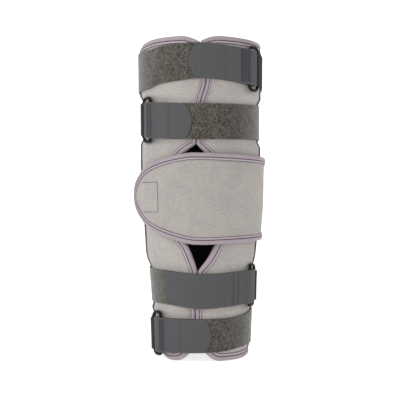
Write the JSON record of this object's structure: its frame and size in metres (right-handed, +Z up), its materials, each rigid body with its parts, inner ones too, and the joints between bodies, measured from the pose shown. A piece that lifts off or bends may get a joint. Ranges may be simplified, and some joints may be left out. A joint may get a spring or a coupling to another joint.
{
  "type": "knee immobilizer",
  "caption": "Foam knee immobilizer sleeve, closed at the front by strap and ring fasteners, with a kneecap cut-out under a wide knee wrap.",
  "frame": {"origin": "centre of the bounding box at the bottom edge, where the brace stands", "axes": "+Z up along the leg, -Y towards the front of the knee, +X to the right in the front view"},
  "size_m": [0.1949, 0.1848, 0.457],
  "materials": {
    "foam_laminate": "brushed light grey knit over foam",
    "binding_tape": "folded greyish lilac tape with a dark stitch line",
    "strip_textile": "plain dark grey textile",
    "pile_band": "mottled dark grey loop pile",
    "hook_webbing": "smooth slate grey webbing with fine ribs",
    "tab_webbing": "near black webbing",
    "ring_plastic": "black moulded plastic, slightly glossy"
  },
  "bodies": {
    "root": {"panel_left": "foam_laminate", "panel_right": "foam_laminate", "panel_back": "foam_laminate", "binding_left": "binding_tape", "binding_right": "binding_tape", "binding_back_top": "binding_tape", "binding_back_bottom": "binding_tape", "side_strip_left": "strip_textile", "side_strip_right": "strip_textile", "strap_1": "pile_band", "strap_2": "pile_band", "strap_3": "pile_band", "strap_4": "pile_band", "hook_tab_1": "hook_webbing", "hook_tab_2": "hook_webbing", "hook_tab_3": "hook_webbing", "hook_tab_4": "hook_webbing", "ring_1": "ring_plastic", "ring_2": "ring_plastic", "ring_3": "ring_plastic", "ring_4": "ring_plastic", "ring_tab_1": "tab_webbing", "ring_tab_2": "tab_webbing", "ring_tab_3": "tab_webbing", "ring_tab_4": "tab_webbing", "knee_wrap": "foam_laminate", "knee_wrap_binding": "binding_tape", "wrap_hook_patch": "hook_webbing"}
  },
  "joints": []
}
